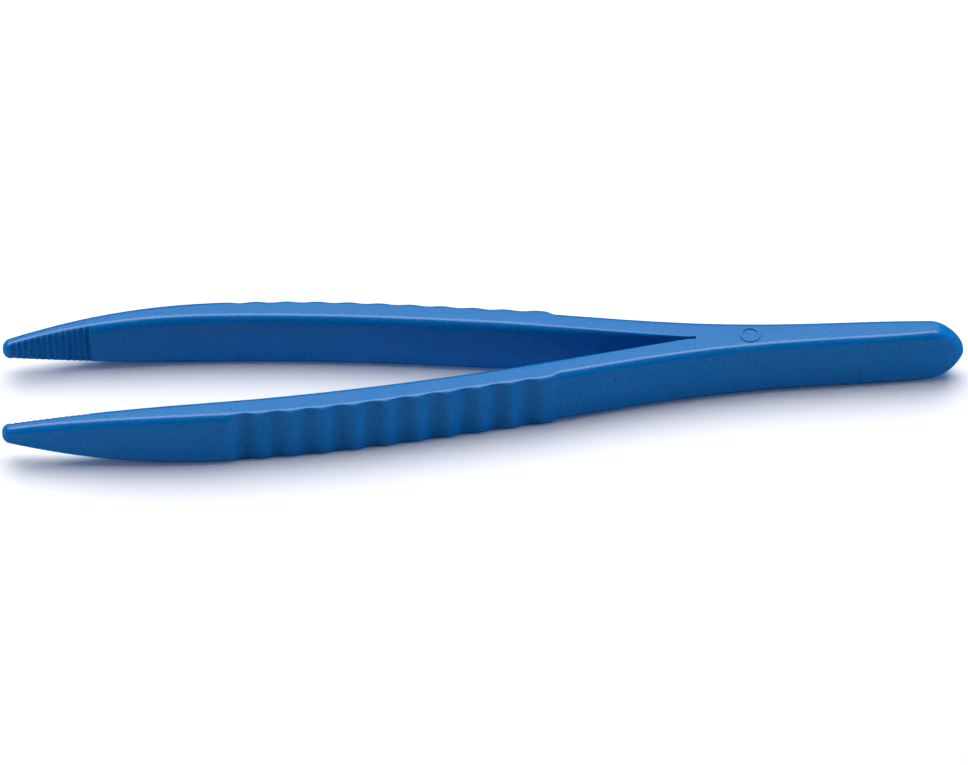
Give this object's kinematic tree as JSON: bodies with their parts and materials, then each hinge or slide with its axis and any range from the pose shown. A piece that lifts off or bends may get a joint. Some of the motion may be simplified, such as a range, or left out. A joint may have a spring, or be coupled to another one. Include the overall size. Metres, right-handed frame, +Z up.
{
  "type": "print tongs",
  "caption": "One-piece sprung plastic tongs with bowed arms, scalloped finger grips and finely serrated tips, for lifting wet prints out of developing trays.",
  "frame": {"origin": "middle of the length and of the spread between the arms, on the bench that the tongs lie on", "axes": "+X towards the round heel, so the tips point along -X; +Z up through the flat side; the arms open along Y, front arm on -Y and rear arm on +Y"},
  "size_m": [0.154, 0.0274, 0.0104],
  "materials": {
    "blue_plastic": "fine satin moulding"
  },
  "bodies": {
    "heel": {"heel_bar": "blue_plastic", "ejector_mark": "blue_plastic", "front_root": "blue_plastic", "rear_root": "blue_plastic"},
    "front_arm": {"front_shank": "blue_plastic", "front_grip": "blue_plastic", "front_nose": "blue_plastic", "front_jaw": "blue_plastic"},
    "rear_arm": {"rear_shank": "blue_plastic", "rear_grip": "blue_plastic", "rear_nose": "blue_plastic", "rear_jaw": "blue_plastic"}
  },
  "joints": [
    {"name": "front_flex", "type": "hinge", "parent": "heel", "child": "front_arm", "pos_m": [0.0177, -0.00444, 0.0051], "axis": [0, 0, -1], "range_deg": [0, 4.95], "stiffness_Nm_per_rad": 2.4},
    {"name": "rear_flex", "type": "hinge", "parent": "heel", "child": "rear_arm", "pos_m": [0.0177, 0.00444, 0.0051], "axis": [0, 0, 1], "range_deg": [0, 4.95], "stiffness_Nm_per_rad": 2.4}
  ]
}
